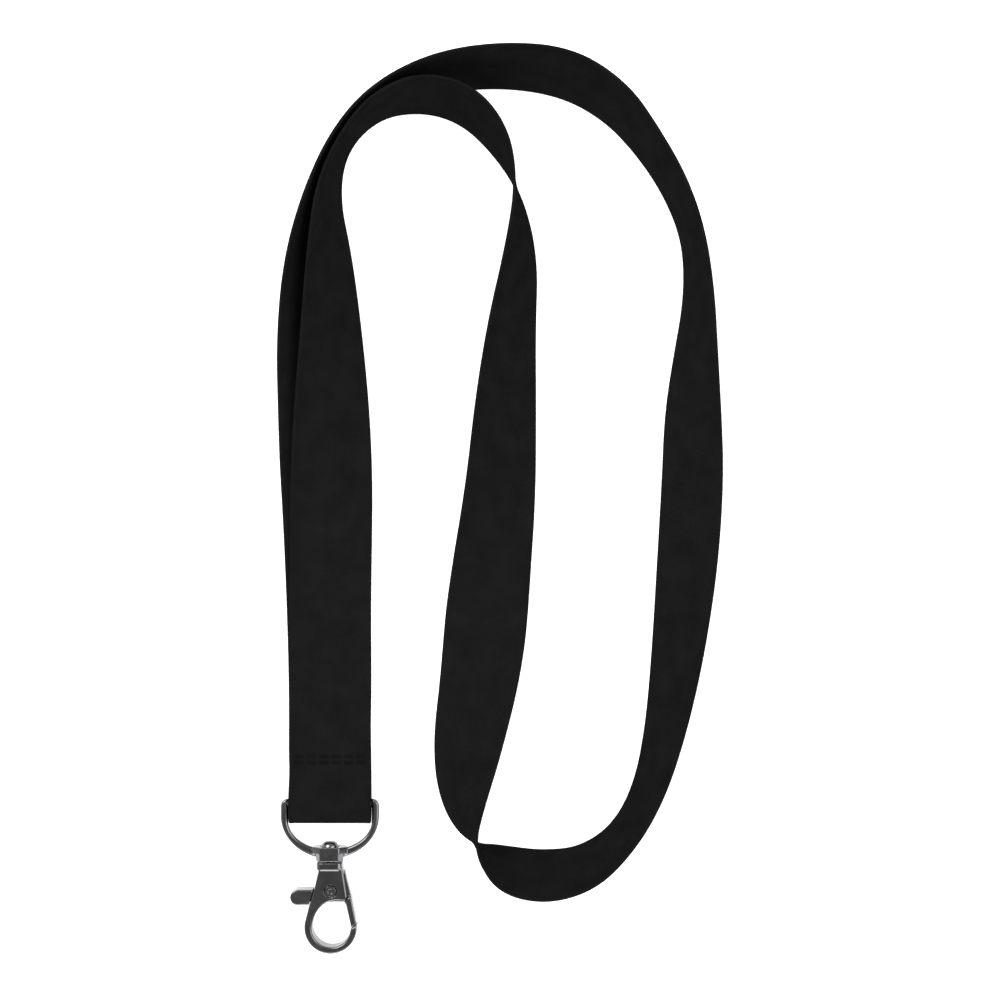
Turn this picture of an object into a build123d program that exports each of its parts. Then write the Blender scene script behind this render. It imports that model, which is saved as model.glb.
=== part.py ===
from build123d import *
import math
import os

# A neck lanyard lying on a flat surface: one woven ribbon, a D-ring in its sewn ends, and a lobster
# swivel hook. Millimetres. X = 0 is the middle of the ring, +Y runs up the ribbon from the hook,
# and Z = 0 is the surface that it lies on.

# Ribbon
RIBBON_WIDTH = 20.0
RIBBON_THICKNESS = 0.7
ARC_SHARE = 0.45  # of the shorter run, from a corner to where its arc starts
ARC_STEP = 15.0  # degrees of an arc between two sections
RUN_STEP = 9.0  # longest straight stretch between two sections

# Metal
METAL_Z = 2.8  # mid height of the ring and the hook
BAR_Y = 17.85  # middle of the straight bar that the ribbon turns round
RING_THICKNESS = 1.9
RING_CORNER = 1.7
BAR_END = 10.9
BAR_RADIUS = 0.86
RING_TOP_Y = 18.87
RING_ROUND = 0.6
RING_HALF = 12.0
RING_BEND_Y = 14.7  # where its sides turn into the bow
RING_DROP = 10.4
WINDOW_HALF = 10.18
WINDOW_BEND_Y = 13.6
WINDOW_DROP = 7.1
BOSS_TOP_Y = 7.3
BOSS_WAIST_Y = 5.7
BOSS_BOTTOM_Y = 3.9
BOSS_HALF_TOP = 4.1
BOSS_HALF_BOTTOM = 3.3
BOSS_FACE_HALF = 2.3  # half width of its front and back faces
BOSS_SIDE_HALF = 1.4  # half height of its side faces
BOSS_THICKNESS = 5.6
PIN_DIAMETER = 2.4
PIN_CLEARANCE = 0.1
HEAD_DIAMETER = 4.3
HEAD_SEAT_DEPTH = 0.8
HEAD_CLEARANCE = 0.15
HEAD_LIFT = 0.08  # play between the head and its seat
HEAD_TOP_Y = 8.6
HEAD_ROUND = 1.6
COLLAR_TOP_Y = 3.6
COLLAR_WIDTH = 6.4
COLLAR_CORNER = 1.3
COLLAR_OVERLAP = 0.4  # how far the collar reaches down over the plates
PLATE_TOP_Y = 2.3
PIN_END_Y = 0.8
BODY_THICKNESS = 5.2
BODY_ROUND = 0.3
SLOT_THICKNESS = 2.6
SLOT_TOP_Y = 0.3
SLOT_BOTTOM_Y = -7.0
SLOT_WIDTH = 16.0  # wider than the plates, so that the slot is open at both sides
RIVET_X = 0.25
RIVET_Y = -3.3
RIVET_SHAFT = 1.8
RIVET_HEAD = 2.7
RIVET_HEAD_HEIGHT = 0.2
RIVET_RECESS = 1.3
RIVET_RECESS_DEPTH = 0.35
RIVET_SEAT = 3.1
RIVET_SEAT_DEPTH = 0.3
LEVER_BORE = 2.0
EYE_X = 0.45
EYE_Y = -12.2
EYE_RADIUS = 4.7
EYE_TOP_Y = -5.6
HOOK_X = 0.3
HOOK_Y = -12.1
HOOK_RADIUS = 6.4
GATE_TIP_RADIUS = 10.1  # from the rivet
GATE_GAP = 0.15
LEVER_THICKNESS = 4.8
LEVER_ROUND = 0.35
LEVER_PLAY = 0.05  # between the lever and what it slides on
BLADE_RADIUS = 3.0
SPINE_THICKNESS = 2.5
BLADE_THICKNESS = 1.4
TAB_INNER_RADIUS = 4.25  # the tab stays outside this radius, so that it clears the plates
TAB_X = -7.65
TAB_Y = -4.82
TAB_RADIUS = 1.9
SPRING_WIRE = 0.3
SPRING_RADIUS = 1.5
SPRING_PITCH = 0.33
SPRING_TURNS = 2.25
SPRING_LEG = 1.4

# Stitches
STITCH_LENGTH = 2.2
STITCH_WIDTH = 0.44
STITCH_HEIGHT = 0.18
STITCH_PITCH = 3.0
STITCHES_IN_A_ROW = 6
STITCH_ROWS_Y = (27.6, 29.2)
STITCH_TOP_Z = 3.25  # on the front layer
STITCH_BOTTOM_Z = 0.2  # under the lowest tail

# The ribbon's route, from the end sewn behind the ring, under the bar, up the front leg, over the
# top, down the middle, round the bottom, up the right side, over the outer top and down behind the
# front leg to its other sewn end: x, y, height of the lower edge, and roll. Roll is the lean of the
# ribbon about its route: 0 is flat, 90 on edge, and the whole loop turns once.
ROUTE = [
    (-0.2, 37.0, 0.20, 180),
    (0.0, 23.5, 0.20, 180),
    (0.0, 13.2, 0.20, 180),
    (0.0, 13.2, 4.70, 0),
    (0.0, 19.6, 4.70, 0),
    (0.1, 24.6, 2.55, 0),
    (-0.1, 33.0, 2.55, 0),
    (0.1, 47.0, 1.90, 0),
    (-0.1, 66.0, 1.20, 0),
    (0.3, 88.0, 1.40, 4),
    (0.7, 110.0, 1.00, 27),
    (0.8, 131.0, 0.20, 47),
    (0.4, 150.0, 0.00, 62),
    (-0.1, 165.5, 0.00, 79),
    (3.6, 177.5, 0.00, 89),
    (11.4, 186.2, 0.00, 84),
    (22.2, 189.6, 0.00, 73.5),
    (33.0, 187.0, 0.00, 71),
    (41.0, 178.8, 0.00, 76),
    (45.8, 167.0, 0.00, 93),
    (46.6, 151.0, 0.00, 113),
    (44.2, 133.0, 0.00, 125),
    (42.8, 115.0, 0.00, 137),
    (41.6, 94.0, 0.00, 148),
    (39.0, 72.0, 0.00, 165),
    (36.8, 50.0, 0.00, 196),
    (33.2, 31.0, 0.00, 215),
    (32.6, 17.6, 0.00, 239),
    (35.0, 8.0, 0.00, 265),
    (42.2, 2.8, 0.00, 294),
    (52.0, 0.9, 0.00, 299),
    (62.2, 3.0, 0.00, 292),
    (70.8, 10.2, 0.00, 284),
    (77.0, 21.0, 0.00, 286),
    (81.1, 36.0, 0.00, 293),
    (84.2, 55.0, 0.00, 303),
    (86.6, 77.0, 0.00, 311.5),
    (87.8, 97.0, 0.00, 312),
    (87.8, 112.0, 0.00, 307),
    (88.4, 126.0, 0.00, 296),
    (89.2, 140.5, 0.00, 285),
    (88.0, 154.5, 0.00, 279.5),
    (83.8, 166.3, 0.00, 281),
    (77.2, 177.2, 0.00, 283.5),
    (69.3, 187.2, 0.00, 290),
    (57.6, 194.4, 0.00, 294),
    (42.0, 196.2, 0.00, 290),
    (25.8, 194.2, 0.00, 286),
    (11.6, 188.6, 0.00, 275),
    (2.4, 178.8, 0.00, 272),
    (-2.3, 165.0, 0.00, 283),
    (-5.0, 149.0, 0.00, 297),
    (-5.0, 131.0, 0.00, 312),
    (-3.0, 113.0, 0.00, 332),
    (-1.9, 93.0, 0.05, 356),
    (-0.9, 69.0, 0.20, 360),
    (-0.2, 48.0, 1.10, 360),
    (-0.1, 33.5, 1.75, 360),
    (0.1, 24.4, 1.75, 360),
    (0.0, 19.4, 3.90, 360),
    (0.0, 14.0, 3.90, 360),
    (0.0, 14.0, 1.00, 180),
    (0.0, 22.0, 1.00, 180),
    (-0.2, 31.5, 1.00, 180),
]


def route_point(x, y, lower_edge, roll):
    """The ribbon's centre where its lower edge is at that height."""
    lean = math.radians(roll)
    half_height = RIBBON_WIDTH / 2 * abs(math.sin(lean)) + RIBBON_THICKNESS / 2 * abs(math.cos(lean))
    return Vector(x, y, lower_edge + half_height)


def route_side(index):
    """The direction across the ribbon at a route point."""
    before = ROUTE[max(index - 1, 0)]
    after = ROUTE[min(index + 1, len(ROUTE) - 1)]
    left = Vector(before[1] - after[1], after[0] - before[0], 0).normalized()
    lean = math.radians(ROUTE[index][3])
    return left * math.cos(lean) + Vector(0, 0, math.sin(lean))


def corner_radius(before, corner, after):
    """The largest arc that the two runs at a corner allow."""
    run_in = corner - before
    run_out = after - corner
    half_turn = math.radians(run_in.get_angle(run_out)) / 2
    return ARC_SHARE * min(run_in.length, run_out.length) / math.tan(half_turn)


def bow_sketch(half_width, bend_y, drop, top_y):
    """Half an ellipse below bend_y, with a box above it up to top_y."""
    with Locations((0, bend_y)):
        Ellipse(half_width, drop)
    with Locations((0, bend_y + drop)):
        Rectangle(2 * half_width + 2, 2 * drop, mode=Mode.SUBTRACT)
    with Locations((0, (bend_y + top_y) / 2)):
        Rectangle(2 * half_width, top_y - bend_y)


def outline(*corners):
    """A filled outline of straight edges, its corners placed as they are given."""
    Polygon(*corners, align=None)


# ---- strap: one ribbon ------------------------------------------------------------------------
points = [route_point(*row) for row in ROUTE]
sides = [route_side(i) for i in range(len(ROUTE))]
corners = zip(points, points[1:], points[2:])
radii = [corner_radius(*three) for three in corners]
with BuildLine() as route_line:
    FilletPolyline(*points, radius=radii)
route = route_line.wire()

# sections stand at both ends of each run and along each arc; the side turns with the route
edges = list(route_line.edges().sort_by(route))
stations = []
travelled = 0.0
corner_at = [0.0]
for edge in edges:
    if edge.geom_type == GeomType.CIRCLE:
        turn = math.degrees(edge.length / edge.radius)
        steps = max(2, math.ceil(turn / ARC_STEP))
        corner_at.append(travelled + edge.length / 2)
    else:
        steps = max(1, math.ceil(edge.length / RUN_STEP))
    stations += [travelled + edge.length * k / steps for k in range(steps)]
    travelled += edge.length
corner_at.append(travelled)
stations.append(travelled)


def side_at(distance):
    """The direction across the ribbon at a distance along the route."""
    index = 0
    while index < len(corner_at) - 2 and corner_at[index + 1] < distance:
        index += 1
    share = (distance - corner_at[index]) / (corner_at[index + 1] - corner_at[index])
    return sides[index] * (1 - share) + sides[index + 1] * share


def section_plane(distance):
    tangent = route.tangent_at(distance / travelled)
    across = side_at(distance)
    across = across - tangent * across.dot(tangent)
    return Plane(route.position_at(distance / travelled), x_dir=across.normalized(), z_dir=tangent)


with BuildPart() as strap:
    for distance in stations:
        with BuildSketch(section_plane(distance)):
            Rectangle(RIBBON_WIDTH, RIBBON_THICKNESS)
    loft(ruled=True)
strap.part.label = "strap"

# ---- stitching: rows of stitches over and under the four layers ---------------------------------
STITCH_FACES = (
    Plane(origin=(0, 0, STITCH_TOP_Z), x_dir=(1, 0, 0), z_dir=(0, 0, 1)),
    Plane(origin=(0, 0, STITCH_BOTTOM_Z), x_dir=(-1, 0, 0), z_dir=(0, 0, -1)),
)
with BuildPart() as stitching:
    for face in STITCH_FACES:
        with BuildSketch(face):
            for row_y in STITCH_ROWS_Y:
                with Locations((0, row_y)):
                    with GridLocations(STITCH_PITCH, 1, STITCHES_IN_A_ROW, 1):
                        SlotOverall(STITCH_LENGTH, STITCH_WIDTH)
        extrude(amount=STITCH_HEIGHT)
stitching.part.label = "stitching"

# ---- D-ring: cast bow, round bar and the swivel boss ---------------------------------------------
with BuildPart() as d_ring:
    with BuildSketch(Plane.XY.offset(METAL_Z - RING_THICKNESS / 2)) as ring_face:
        bow_sketch(RING_HALF, RING_BEND_Y, RING_DROP, RING_TOP_Y)
        fillet(ring_face.vertices().group_by(Axis.Y)[-1], RING_CORNER)
        with BuildSketch(mode=Mode.SUBTRACT):
            bow_sketch(WINDOW_HALF, WINDOW_BEND_Y, WINDOW_DROP, RING_TOP_Y + 1)
    extrude(amount=RING_THICKNESS)
    fillet(d_ring.edges().filter_by(Plane.XY), RING_ROUND)
    with BuildSketch(Plane.YZ.offset(-BAR_END)):
        with Locations((BAR_Y, METAL_Z)):
            Circle(BAR_RADIUS)
    extrude(amount=2 * BAR_END)
    for start_y, end_y, half in (
        (BOSS_TOP_Y, BOSS_WAIST_Y, BOSS_HALF_TOP),
        (BOSS_WAIST_Y, BOSS_BOTTOM_Y, BOSS_HALF_BOTTOM),
    ):
        with BuildSketch(Plane.XZ.offset(-start_y)):
            with Locations((0, METAL_Z)):
                outline(
                    (-half, -BOSS_SIDE_HALF),
                    (-BOSS_FACE_HALF, -BOSS_THICKNESS / 2),
                    (BOSS_FACE_HALF, -BOSS_THICKNESS / 2),
                    (half, -BOSS_SIDE_HALF),
                    (half, BOSS_SIDE_HALF),
                    (BOSS_FACE_HALF, BOSS_THICKNESS / 2),
                    (-BOSS_FACE_HALF, BOSS_THICKNESS / 2),
                    (-half, BOSS_SIDE_HALF),
                )
        extrude(amount=start_y - end_y)
    with BuildSketch(Plane.XZ.offset(-BOSS_TOP_Y - 1)):
        with Locations((0, METAL_Z)):
            Circle(PIN_DIAMETER / 2 + PIN_CLEARANCE)
    extrude(amount=BOSS_TOP_Y - BOSS_BOTTOM_Y + 2, mode=Mode.SUBTRACT)
    with BuildSketch(Plane.XZ.offset(-BOSS_TOP_Y)):
        with Locations((0, METAL_Z)):
            Circle(HEAD_DIAMETER / 2 + HEAD_CLEARANCE)
    extrude(amount=HEAD_SEAT_DEPTH, mode=Mode.SUBTRACT)
d_ring.part.label = "d_ring"

# ---- swivel pin: dome head in the ring's boss, stem fixed in the hook ---------------------------
HEAD_SEAT_Y = BOSS_TOP_Y - HEAD_SEAT_DEPTH + HEAD_LIFT
with BuildPart() as swivel_pin:
    with BuildSketch(Plane.XZ.offset(-HEAD_TOP_Y)):
        with Locations((0, METAL_Z)):
            Circle(HEAD_DIAMETER / 2)
    extrude(amount=HEAD_TOP_Y - HEAD_SEAT_Y)
    fillet(swivel_pin.edges().sort_by(Axis.Y)[-1], HEAD_ROUND)
    with BuildSketch(Plane.XZ.offset(-HEAD_SEAT_Y)):
        with Locations((0, METAL_Z)):
            Circle(PIN_DIAMETER / 2)
    extrude(amount=HEAD_SEAT_Y - PIN_END_Y)
swivel_pin.part.label = "swivel_pin"

# ---- hook body: collar, two plates with the lever's slot between them, and the open eye ----------
with BuildPart() as hook_body:
    with BuildSketch(Plane.XY.offset(METAL_Z - BODY_THICKNESS / 2)):
        outline(
            (-2.5, PLATE_TOP_Y),
            (3.2, PLATE_TOP_Y),
            (4.25, -4.7),
            (3.9, EYE_TOP_Y),
            (4.7, -9.0),
            (4.7, EYE_Y),
            (-5.0, EYE_Y),
            (-6.0, -10.9),
            (-4.9, -6.8),
            (-3.9, -3.8),
        )
        with Locations((HOOK_X, HOOK_Y)):
            Circle(HOOK_RADIUS)
        with BuildSketch(mode=Mode.SUBTRACT):
            with Locations((EYE_X, EYE_Y)):
                Circle(EYE_RADIUS)
            with BuildLine():
                shoulder = Spline(
                    (3.3, EYE_TOP_Y),
                    (1.0, -5.55),
                    (-1.0, -6.2),
                    (-2.6, -7.6),
                    (-3.7, -9.6),
                    (EYE_X - EYE_RADIUS, EYE_Y),
                )
                Polyline(shoulder @ 1, (EYE_X + EYE_RADIUS, EYE_Y), shoulder @ 0)
            make_face()
        with BuildSketch(mode=Mode.SUBTRACT):
            with Locations((RIVET_X, RIVET_Y)):
                Circle(GATE_TIP_RADIUS + GATE_GAP)
            with BuildSketch(mode=Mode.INTERSECT):
                outline((2.4, EYE_TOP_Y), (9, EYE_TOP_Y), (9, -16), (2.4, -16))
    extrude(amount=BODY_THICKNESS)
    fillet(hook_body.edges().filter_by(Plane.XY), BODY_ROUND)
    with BuildSketch(Plane.XZ.offset(-COLLAR_TOP_Y)):
        with Locations((0, METAL_Z)):
            RectangleRounded(COLLAR_WIDTH, BOSS_THICKNESS, COLLAR_CORNER)
    extrude(amount=COLLAR_TOP_Y - PLATE_TOP_Y + COLLAR_OVERLAP)
    with BuildSketch(Plane.XZ.offset(-COLLAR_TOP_Y)):
        with Locations((0, METAL_Z)):
            Circle(PIN_DIAMETER / 2)
    extrude(amount=COLLAR_TOP_Y - PIN_END_Y, mode=Mode.SUBTRACT)
    with BuildSketch(Plane.XY.offset(METAL_Z - SLOT_THICKNESS / 2)):
        with Locations((0, (SLOT_TOP_Y + SLOT_BOTTOM_Y) / 2)):
            Rectangle(SLOT_WIDTH, SLOT_TOP_Y - SLOT_BOTTOM_Y)
    extrude(amount=SLOT_THICKNESS, mode=Mode.SUBTRACT)
    with BuildSketch(Plane.XY):
        with Locations((RIVET_X, RIVET_Y)):
            Circle(RIVET_SHAFT / 2)
    extrude(amount=BOSS_THICKNESS, mode=Mode.SUBTRACT)
    with BuildSketch(Plane.XY.offset(METAL_Z + BODY_THICKNESS / 2)):
        with Locations((RIVET_X, RIVET_Y)):
            Circle(RIVET_SEAT / 2)
    extrude(amount=-RIVET_SEAT_DEPTH, mode=Mode.SUBTRACT)
hook_body.part.label = "hook_body"

# ---- gate lever: blade and spine in the slot, full-height gate arm and thumb tab -----------------
BLADE_BOTTOM = METAL_Z - SLOT_THICKNESS / 2 + LEVER_PLAY
with BuildPart() as gate_lever:
    with BuildSketch(Plane.XY.offset(METAL_Z - LEVER_THICKNESS / 2)):
        outline(
            (3.9, -5.75),
            (4.45, -4.8),
            (5.35, -4.6),
            (6.45, -10.3),
            (6.8, -13.0),
            (5.5, -13.0),
        )
        with BuildSketch(mode=Mode.INTERSECT):
            with Locations((RIVET_X, RIVET_Y)):
                Circle(GATE_TIP_RADIUS)
        with BuildSketch():
            outline(
                (-3.9, -2.95),
                (TAB_X, TAB_Y + TAB_RADIUS),
                (TAB_X, TAB_Y - TAB_RADIUS),
                (-5.04, -6.6),
                (-3.9, -3.3),
            )
            with Locations((TAB_X, TAB_Y)):
                Circle(TAB_RADIUS)
            with Locations((RIVET_X, RIVET_Y)):
                Circle(TAB_INNER_RADIUS, mode=Mode.SUBTRACT)
    extrude(amount=LEVER_THICKNESS)
    fillet(gate_lever.edges().filter_by(Plane.XY), LEVER_ROUND)
    with BuildSketch(Plane.XY.offset(BLADE_BOTTOM)):
        with Locations((RIVET_X, RIVET_Y)):
            Circle(BLADE_RADIUS)
        outline((0.2, -0.5), (3.2, -0.5), (4.6, -6.3), (0.2, -6.2))
        outline((0.2, -2.9), (-4.9, -3.1), (-5.6, -6.2), (0.2, -6.2))
    extrude(amount=BLADE_THICKNESS)
    with BuildSketch(Plane.XY.offset(BLADE_BOTTOM)):
        outline(
            (3.5, 1.5),
            (3.75, 1.6),
            (4.35, -1.1),
            (5.15, -4.1),
            (5.4, -7.2),
            (4.2, -7.2),
            (3.0, -5.0),
            (3.0, -0.5),
            (3.62, 0.25),
        )
    extrude(amount=SPINE_THICKNESS)
    with BuildSketch(Plane.XY):
        with Locations((RIVET_X, RIVET_Y)):
            Circle(LEVER_BORE / 2)
    extrude(amount=BOSS_THICKNESS, mode=Mode.SUBTRACT)
gate_lever.part.label = "gate_lever"

# ---- pivot rivet ---------------------------------------------------------------------------------
with BuildPart() as pivot_rivet:
    with BuildSketch(Plane.XY):
        with Locations((RIVET_X, RIVET_Y)):
            Circle(RIVET_SHAFT / 2)
    extrude(amount=BOSS_THICKNESS)
    for head_z, height in (
        (0.0, RIVET_HEAD_HEIGHT),
        (METAL_Z + BODY_THICKNESS / 2 - RIVET_SEAT_DEPTH, RIVET_HEAD_HEIGHT + RIVET_SEAT_DEPTH),
    ):
        with BuildSketch(Plane.XY.offset(head_z)):
            with Locations((RIVET_X, RIVET_Y)):
                Circle(RIVET_HEAD / 2)
        extrude(amount=height)
    with BuildSketch(Plane.XY.offset(BOSS_THICKNESS - RIVET_RECESS_DEPTH)):
        with Locations((RIVET_X, RIVET_Y)):
            Circle(RIVET_RECESS / 2)
    extrude(amount=RIVET_RECESS_DEPTH, mode=Mode.SUBTRACT)
pivot_rivet.part.label = "pivot_rivet"

# ---- torsion spring: coil round the rivet, above the lever's blade -------------------------------
SPRING_Z = BLADE_BOTTOM + BLADE_THICKNESS + LEVER_PLAY + SPRING_WIRE / 2
with BuildPart() as torsion_spring:
    with BuildLine() as spring_line:
        coil = Helix(
            SPRING_PITCH, SPRING_PITCH * SPRING_TURNS, SPRING_RADIUS, center=(RIVET_X, RIVET_Y, SPRING_Z)
        )
        Line(coil @ 1, coil @ 1 + (coil % 1) * SPRING_LEG)
    with BuildSketch(Plane(coil @ 0, z_dir=coil % 0)):
        Circle(SPRING_WIRE / 2)
    sweep(path=spring_line.wire(), is_frenet=True)
torsion_spring.part.label = "torsion_spring"

os.makedirs("parts", exist_ok=True)
PIECES = (strap, stitching, d_ring, swivel_pin, hook_body, gate_lever, pivot_rivet, torsion_spring)
for piece in PIECES:
    export_step(piece.part, f"parts/{piece.part.label}.step")

print("route length", round(travelled, 1), "mm; radii", [round(r, 1) for r in radii])
section_volume = RIBBON_WIDTH * RIBBON_THICKNESS * travelled
print("strap volume", round(strap.part.volume), "mm3; section times length", round(section_volume))
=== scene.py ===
import math

import bmesh
import bpy
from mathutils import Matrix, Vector


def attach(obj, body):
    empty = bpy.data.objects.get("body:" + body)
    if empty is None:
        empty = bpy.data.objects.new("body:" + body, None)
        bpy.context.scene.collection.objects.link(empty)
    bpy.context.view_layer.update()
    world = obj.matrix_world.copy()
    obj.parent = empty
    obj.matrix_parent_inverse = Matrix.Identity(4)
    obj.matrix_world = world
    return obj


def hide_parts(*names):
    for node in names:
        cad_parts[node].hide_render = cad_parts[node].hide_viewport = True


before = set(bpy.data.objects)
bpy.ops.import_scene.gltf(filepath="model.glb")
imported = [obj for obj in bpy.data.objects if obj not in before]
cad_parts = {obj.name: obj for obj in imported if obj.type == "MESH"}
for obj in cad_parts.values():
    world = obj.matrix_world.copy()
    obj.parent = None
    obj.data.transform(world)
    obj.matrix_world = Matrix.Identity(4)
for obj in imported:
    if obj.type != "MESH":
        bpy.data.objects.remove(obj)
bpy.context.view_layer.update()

MM = 0.001
RIBBON_WIDTH = 20.0 * MM
RIBBON_THICKNESS = 0.7 * MM

# The ribbon's route, as in the CAD part: x, y and the height of the lower edge in millimetres, and
# the roll in degrees, which is 0 where the ribbon is flat and 90 where it stands on edge.
ROUTE = [
    (-0.2, 37.0, 0.20, 180),
    (0.0, 23.5, 0.20, 180),
    (0.0, 13.2, 0.20, 180),
    (0.0, 13.2, 4.70, 0),
    (0.0, 19.6, 4.70, 0),
    (0.1, 24.6, 2.55, 0),
    (-0.1, 33.0, 2.55, 0),
    (0.1, 47.0, 1.90, 0),
    (-0.1, 66.0, 1.20, 0),
    (0.3, 88.0, 1.40, 4),
    (0.7, 110.0, 1.00, 27),
    (0.8, 131.0, 0.20, 47),
    (0.4, 150.0, 0.00, 62),
    (-0.1, 165.5, 0.00, 79),
    (3.6, 177.5, 0.00, 89),
    (11.4, 186.2, 0.00, 84),
    (22.2, 189.6, 0.00, 73.5),
    (33.0, 187.0, 0.00, 71),
    (41.0, 178.8, 0.00, 76),
    (45.8, 167.0, 0.00, 93),
    (46.6, 151.0, 0.00, 113),
    (44.2, 133.0, 0.00, 125),
    (42.8, 115.0, 0.00, 137),
    (41.6, 94.0, 0.00, 148),
    (39.0, 72.0, 0.00, 165),
    (36.8, 50.0, 0.00, 196),
    (33.2, 31.0, 0.00, 215),
    (32.6, 17.6, 0.00, 239),
    (35.0, 8.0, 0.00, 265),
    (42.2, 2.8, 0.00, 294),
    (52.0, 0.9, 0.00, 299),
    (62.2, 3.0, 0.00, 292),
    (70.8, 10.2, 0.00, 284),
    (77.0, 21.0, 0.00, 286),
    (81.1, 36.0, 0.00, 293),
    (84.2, 55.0, 0.00, 303),
    (86.6, 77.0, 0.00, 311.5),
    (87.8, 97.0, 0.00, 312),
    (87.8, 112.0, 0.00, 307),
    (88.4, 126.0, 0.00, 296),
    (89.2, 140.5, 0.00, 285),
    (88.0, 154.5, 0.00, 279.5),
    (83.8, 166.3, 0.00, 281),
    (77.2, 177.2, 0.00, 283.5),
    (69.3, 187.2, 0.00, 290),
    (57.6, 194.4, 0.00, 294),
    (42.0, 196.2, 0.00, 290),
    (25.8, 194.2, 0.00, 286),
    (11.6, 188.6, 0.00, 275),
    (2.4, 178.8, 0.00, 272),
    (-2.3, 165.0, 0.00, 283),
    (-5.0, 149.0, 0.00, 297),
    (-5.0, 131.0, 0.00, 312),
    (-3.0, 113.0, 0.00, 332),
    (-1.9, 93.0, 0.05, 356),
    (-0.9, 69.0, 0.20, 360),
    (-0.2, 48.0, 1.10, 360),
    (-0.1, 33.5, 1.75, 360),
    (0.1, 24.4, 1.75, 360),
    (0.0, 19.4, 3.90, 360),
    (0.0, 14.0, 3.90, 360),
    (0.0, 14.0, 1.00, 180),
    (0.0, 22.0, 1.00, 180),
    (-0.2, 31.5, 1.00, 180),
]
RESOLUTION = 14  # points that the spline gives for each control point


# ---- camera ----------------------------------------------------------------------------------
def make_camera():
    """Straight above the middle of the lanyard, looking down."""
    data = bpy.data.cameras.new("camera")
    data.lens = 72
    data.clip_start = 0.01
    camera = bpy.data.objects.new("camera", data)
    camera.location = (0.0414, 0.0916, 0.490)
    bpy.context.scene.collection.objects.link(camera)
    bpy.context.scene.camera = camera


# ---- ribbon ----------------------------------------------------------------------------------
def route_centre(row):
    """The ribbon's centre at a route point, with its lower edge at the height given."""
    x, y, lower_edge, roll = row
    lean = math.radians(roll)
    half_height = (RIBBON_WIDTH * abs(math.sin(lean)) + RIBBON_THICKNESS * abs(math.cos(lean))) / 2
    return Vector((x * MM, y * MM, lower_edge * MM + half_height))


def route_side(index):
    """The direction across the ribbon at a route point."""
    before, after = ROUTE[max(index - 1, 0)], ROUTE[min(index + 1, len(ROUTE) - 1)]
    left = Vector((before[1] - after[1], after[0] - before[0], 0)).normalized()
    lean = math.radians(ROUTE[index][3])
    return left * math.cos(lean) + Vector((0, 0, math.sin(lean)))


def smooth_line(control_points):
    """Points along the NURBS spline that has these control points."""
    curve = bpy.data.curves.new("route", "CURVE")
    curve.dimensions = "3D"
    spline = curve.splines.new("NURBS")
    spline.points.add(len(control_points) - 1)
    for point, place in zip(spline.points, control_points):
        point.co = (*place, 1)
    spline.order_u = 3
    spline.use_endpoint_u = True
    spline.resolution_u = RESOLUTION
    holder = bpy.data.objects.new("route", curve)
    mesh = bpy.data.meshes.new_from_object(holder)
    line = [vertex.co.copy() for vertex in mesh.vertices]
    bpy.data.meshes.remove(mesh)
    bpy.data.objects.remove(holder)
    bpy.data.curves.remove(curve)
    return line


SELVAGE = 1.1 * MM  # width of the firm woven edge
EDGE_ROUND = 0.30 * MM
GROOVE = 0.06 * MM  # how far the ribbon's face lies below its selvage


def ribbon_profile():
    """The ribbon's section as (across, up) points: a flat face, a shallow groove and a round edge."""
    half, thick = RIBBON_WIDTH / 2, RIBBON_THICKNESS / 2
    top = [(across * (half - SELVAGE) / 6, thick - GROOVE) for across in range(-6, 7)]
    inner = [(half - SELVAGE * 0.75, thick), (half - EDGE_ROUND, thick)]
    steps = [math.radians(angle) for angle in (60, 30, 0, -30, -60)]
    edge = [(half - EDGE_ROUND + EDGE_ROUND * math.cos(a), thick * math.sin(a)) for a in steps]
    right = inner + edge + [(x, -y) for x, y in reversed(inner)]
    bottom = [(x, -y) for x, y in reversed(top)]
    left = [(-x, -y) for x, y in right]
    return top + right + bottom + left


def make_ribbon(line, sides):
    """A woven ribbon that follows the line, with UVs in metres: across and along."""
    profile = ribbon_profile()
    mesh = bmesh.new()
    uv = mesh.loops.layers.uv.new("weave")
    rings = []
    along = [0.0]
    for before, after in zip(line, line[1:]):
        along.append(along[-1] + (after - before).length)
    for index, place in enumerate(line):
        tangent = (line[min(index + 1, len(line) - 1)] - line[max(index - 1, 0)]).normalized()
        across = (sides[index] - tangent * sides[index].dot(tangent)).normalized()
        up = tangent.cross(across)
        rings.append([mesh.verts.new(place + across * x + up * y) for x, y in profile])
    count = len(profile)
    for index in range(len(rings) - 1):
        for k in range(count):
            after = (k + 1) % count
            corners = [(index, k), (index, after), (index + 1, after), (index + 1, k)]
            face = mesh.faces.new([rings[i][j] for i, j in corners])
            face.smooth = True
            for loop, (i, j) in zip(face.loops, corners):
                loop[uv].uv = (profile[j][0], along[i])
    mesh.faces.new(rings[0])
    mesh.faces.new(reversed(rings[-1]))
    bmesh.ops.recalc_face_normals(mesh, faces=mesh.faces)
    data = bpy.data.meshes.new("strap_webbing")
    mesh.to_mesh(data)
    mesh.free()
    piece = bpy.data.objects.new("strap_webbing", data)
    bpy.context.scene.collection.objects.link(piece)
    return piece, along[-1]


# ---- metal -----------------------------------------------------------------------------------
LOOP_TOP = -8.0 * MM
LOOP_BLEND = 3.0 * MM
COLLAR_BOTTOM = 1.5 * MM
COLLAR_BLEND = 0.8 * MM
SOFT_SMOOTHING = 25


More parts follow.
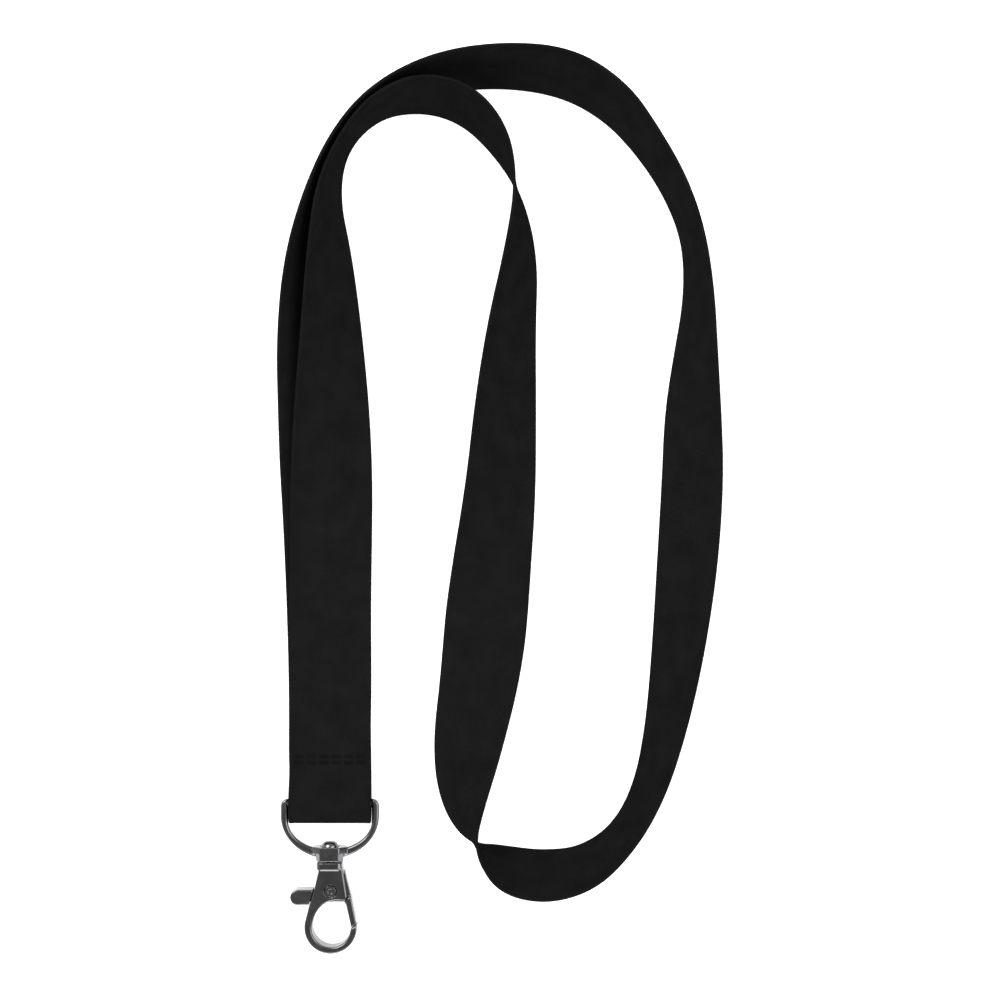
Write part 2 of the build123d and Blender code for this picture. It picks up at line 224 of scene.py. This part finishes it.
def casting(name, node, body, voxel, smoothing, soft_parts=False):
    """A finer copy of a CAD node: one closed skin with soft cast edges, in place of the node.

    With soft_parts the edges of a hook's open loop and of its collar are rounded much further.
    """
    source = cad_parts[node]
    placed = source.data.copy()
    placed.transform(source.matrix_world)
    piece = bpy.data.objects.new(name, placed)
    bpy.context.scene.collection.objects.link(piece)
    welded = bmesh.new()
    welded.from_mesh(placed)
    bmesh.ops.remove_doubles(welded, verts=welded.verts, dist=0.001 * MM)
    welded.to_mesh(placed)
    welded.free()
    skin = piece.modifiers.new("skin", "REMESH")
    skin.mode = "VOXEL"
    skin.voxel_size = voxel
    soften = piece.modifiers.new("soften", "SMOOTH")
    soften.factor = 0.5
    soften.iterations = smoothing
    bpy.context.view_layer.update()
    fine = bpy.data.meshes.new_from_object(piece.evaluated_get(bpy.context.evaluated_depsgraph_get()))
    piece.modifiers.clear()
    piece.data = fine
    if soft_parts:
        group = piece.vertex_groups.new(name="soft_parts")
        for vertex in fine.vertices:
            loop = (LOOP_TOP - vertex.co.y) / LOOP_BLEND
            collar = (vertex.co.y - COLLAR_BOTTOM) / COLLAR_BLEND
            group.add([vertex.index], min(1.0, max(0.0, loop, collar)), "REPLACE")
        loosen = piece.modifiers.new("loosen", "SMOOTH")
        loosen.factor = 0.5
        loosen.iterations = SOFT_SMOOTHING
        loosen.vertex_group = "soft_parts"
    for face in fine.polygons:
        face.use_smooth = True
    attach(piece, body)
    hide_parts(node)
    return piece


# ---- materials -------------------------------------------------------------------------------
def new_material(name):
    material = bpy.data.materials.new(name)
    material.use_nodes = True
    tree = material.node_tree
    return material, tree, tree.nodes["Principled BSDF"]


def math_node(tree, operation, a, b=None):
    node = tree.nodes.new("ShaderNodeMath")
    node.operation = operation
    for socket, value in zip(node.inputs, (a, b)):
        if isinstance(value, (int, float)):
            socket.default_value = value
        elif value is not None:
            tree.links.new(value, socket)
    return node.outputs[0]


def ramp(tree, factor, low, high, dark, light):
    node = tree.nodes.new("ShaderNodeValToRGB")
    node.color_ramp.elements[0].position = low
    node.color_ramp.elements[1].position = high
    node.color_ramp.elements[0].color = (*dark, 1)
    node.color_ramp.elements[1].color = (*light, 1)
    tree.links.new(factor, node.inputs[0])
    return node.outputs[0]


def noise(tree, vector, scale, detail=3.0):
    node = tree.nodes.new("ShaderNodeTexNoise")
    node.inputs["Scale"].default_value = scale
    node.inputs["Detail"].default_value = detail
    if vector is not None:
        tree.links.new(vector, node.inputs["Vector"])
    return node.outputs["Fac"]


def webbing_material():
    """Black woven polyester: fine cross ribs, warp threads, a firmer selvage and faint rubbing."""
    material, tree, shader = new_material("black_webbing")
    uv = tree.nodes.new("ShaderNodeUVMap")
    uv.uv_map = "weave"
    split = tree.nodes.new("ShaderNodeSeparateXYZ")
    tree.links.new(uv.outputs[0], split.inputs[0])
    across, along = split.outputs[0], split.outputs[1]
    pick = math_node(tree, "SINE", math_node(tree, "MULTIPLY", along, 2 * math.pi / (0.62 * MM)))
    warp_phase = math_node(tree, "MULTIPLY", across, math.pi / (0.36 * MM))
    warp = math_node(tree, "SINE", warp_phase)
    over = math_node(tree, "MULTIPLY", pick, warp)
    rib = math_node(tree, "ABSOLUTE", warp)
    height = math_node(tree, "ADD", math_node(tree, "MULTIPLY", over, 0.5), rib)
    fibre = noise(tree, uv.outputs[0], 9000, 2)
    height = math_node(tree, "ADD", height, math_node(tree, "MULTIPLY", fibre, 0.5))
    bump = tree.nodes.new("ShaderNodeBump")
    bump.inputs["Strength"].default_value = 0.55
    bump.inputs["Distance"].default_value = 0.07 * MM
    tree.links.new(height, bump.inputs["Height"])
    tree.links.new(bump.outputs[0], shader.inputs["Normal"])
    patch = noise(tree, uv.outputs[0], 160, 4)
    tone = math_node(tree, "ADD", math_node(tree, "MULTIPLY", over, 0.10), patch)
    tree.links.new(ramp(tree, tone, 0.3, 0.8, (0.0070, 0.0070, 0.0070), (0.0102, 0.0102, 0.0104)),
                   shader.inputs["Base Color"])
    rough = math_node(tree, "ADD", math_node(tree, "MULTIPLY", patch, 0.2), 0.68)
    tree.links.new(rough, shader.inputs["Roughness"])
    shader.inputs["Specular IOR Level"].default_value = 0.0
    return material


def thread_material():
    """Black sewing thread with its twist."""
    material, tree, shader = new_material("black_thread")
    place = tree.nodes.new("ShaderNodeTexCoord")
    wave = tree.nodes.new("ShaderNodeTexWave")
    wave.bands_direction = "DIAGONAL"
    wave.inputs["Scale"].default_value = 1400
    tree.links.new(place.outputs["Object"], wave.inputs["Vector"])
    bump = tree.nodes.new("ShaderNodeBump")
    bump.inputs["Strength"].default_value = 0.6
    bump.inputs["Distance"].default_value = 0.05 * MM
    tree.links.new(wave.outputs["Fac"], bump.inputs["Height"])
    tree.links.new(bump.outputs[0], shader.inputs["Normal"])
    tone = ramp(tree, wave.outputs["Fac"], 0.2, 0.8, (0.002, 0.002, 0.002), (0.004, 0.004, 0.004))
    tree.links.new(tone, shader.inputs["Base Color"])
    shader.inputs["Roughness"].default_value = 0.5
    shader.inputs["Specular IOR Level"].default_value = 0.05
    return material


def metal_material(name, dark, light, roughness):
    """Gunmetal plating: a soft colour variation, fine casting texture and rubbed spots."""
    material, tree, shader = new_material(name)
    place = tree.nodes.new("ShaderNodeTexCoord").outputs["Object"]
    cloud = noise(tree, place, 260, 4)
    grain = noise(tree, place, 2600, 3)
    tree.links.new(ramp(tree, cloud, 0.35, 0.7, dark, light), shader.inputs["Base Color"])
    smear = math_node(tree, "MULTIPLY", cloud, 0.14)
    speck = math_node(tree, "MULTIPLY", grain, 0.08)
    rough = math_node(tree, "ADD", math_node(tree, "ADD", smear, speck), roughness - 0.11)
    tree.links.new(rough, shader.inputs["Roughness"])
    bump = tree.nodes.new("ShaderNodeBump")
    bump.inputs["Strength"].default_value = 0.12
    bump.inputs["Distance"].default_value = 0.05 * MM
    height = math_node(tree, "ADD", grain, math_node(tree, "MULTIPLY", cloud, 2.0))
    tree.links.new(height, bump.inputs["Height"])
    tree.links.new(bump.outputs[0], shader.inputs["Normal"])
    shader.inputs["Metallic"].default_value = 1.0
    return material


def give(piece, material):
    piece.data.materials.clear()
    piece.data.materials.append(material)


# ---- stage -----------------------------------------------------------------------------------
FLOOR_HALF = 8.0
FLOOR_Z = -0.25 * MM  # just under the lowest point of the ribbon
MIDDLE = Vector((0.04, 0.08, 0))  # about the lanyard's middle, where the lights aim


def make_stage():
    """A plain pale surface under the lanyard and soft light from all round."""
    mesh = bpy.data.meshes.new("floor")
    corners = [(x * FLOOR_HALF, y * FLOOR_HALF, 0) for x, y in ((-1, -1), (1, -1), (1, 1), (-1, 1))]
    mesh.from_pydata(corners, [], [(0, 1, 2, 3)])
    floor = bpy.data.objects.new("floor", mesh)
    floor.location.z = FLOOR_Z
    bpy.context.scene.collection.objects.link(floor)
    material, tree, shader = new_material("pale_surface")
    shader.inputs["Base Color"].default_value = (0.92, 0.92, 0.92, 1)
    shader.inputs["Roughness"].default_value = 0.9
    shader.inputs["Specular IOR Level"].default_value = 0.1
    shader.inputs["Emission Color"].default_value = (1, 1, 1, 1)
    shader.inputs["Emission Strength"].default_value = 0.75
    give(floor, material)

    world = bpy.data.worlds.new("studio")
    world.use_nodes = True
    tree = world.node_tree
    background = tree.nodes["Background"]
    direction = tree.nodes.new("ShaderNodeTexCoord").outputs["Generated"]
    split = tree.nodes.new("ShaderNodeSeparateXYZ")
    tree.links.new(direction, split.inputs[0])
    sky = ramp(tree, split.outputs[2], 0.55, 0.93, (0.85, 0.85, 0.85), (0.39, 0.39, 0.39))
    tree.links.new(sky, background.inputs[0])
    background.inputs[1].default_value = 0.8
    bpy.context.scene.world = world
    for name, place, size, power in (
        ("key", (-0.35, 0.45, 0.6), 0.5, 5.0),
        ("fill", (0.5, 0.1, 0.6), 0.6, 3.5),
        ("low", (0.0, -0.5, 0.35), 0.4, 2.0),
    ):
        data = bpy.data.lights.new(name, "AREA")
        data.size = size
        data.energy = power
        light = bpy.data.objects.new(name, data)
        light.location = place
        aim = MIDDLE - Vector(place)
        light.rotation_euler = aim.to_track_quat("-Z", "Y").to_euler()
        bpy.context.scene.collection.objects.link(light)
    bpy.context.scene.view_settings.view_transform = "Standard"


# ---- build -----------------------------------------------------------------------------------
make_camera()
centres = [route_centre(row) for row in ROUTE]
route_line = smooth_line(centres)
side_line = smooth_line([route_side(index) for index in range(len(ROUTE))])
strap, strap_length = make_ribbon(route_line, side_line)
give(strap, webbing_material())
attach(strap, "strap")
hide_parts("strap")

cast_metal = metal_material("cast_gunmetal", (0.13, 0.13, 0.135), (0.17, 0.17, 0.175), 0.20)
lever_metal = metal_material("lever_gunmetal", (0.14, 0.14, 0.145), (0.18, 0.18, 0.185), 0.17)
pin_metal = metal_material("pin_gunmetal", (0.15, 0.15, 0.155), (0.20, 0.20, 0.205), 0.17)
spring_metal = metal_material("spring_wire", (0.25, 0.25, 0.26), (0.35, 0.35, 0.36), 0.25)
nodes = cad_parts
for name, node, body, slot, voxel, smoothing, material in (
    ("ring_casting", "d_ring", "ring", "cast_metal", 0.12 * MM, 7, cast_metal),
    ("hook_casting", "hook_body", "hook", "cast_metal", 0.12 * MM, 4, cast_metal),
    ("gate_casting", "gate_lever", "gate", "lever_metal", 0.11 * MM, 3, lever_metal),
    ("swivel_pin_turned", "swivel_pin", "hook", "pin_metal", 0.08 * MM, 3, pin_metal),
    ("rivet_turned", "pivot_rivet", "hook", "pin_metal", 0.06 * MM, 2, pin_metal),
):
    piece = casting(name, node, body, voxel, smoothing, soft_parts=node == "hook_body")
    give(piece, material)
give(nodes["torsion_spring"], spring_metal)
give(nodes["stitching"], thread_material())

make_stage()
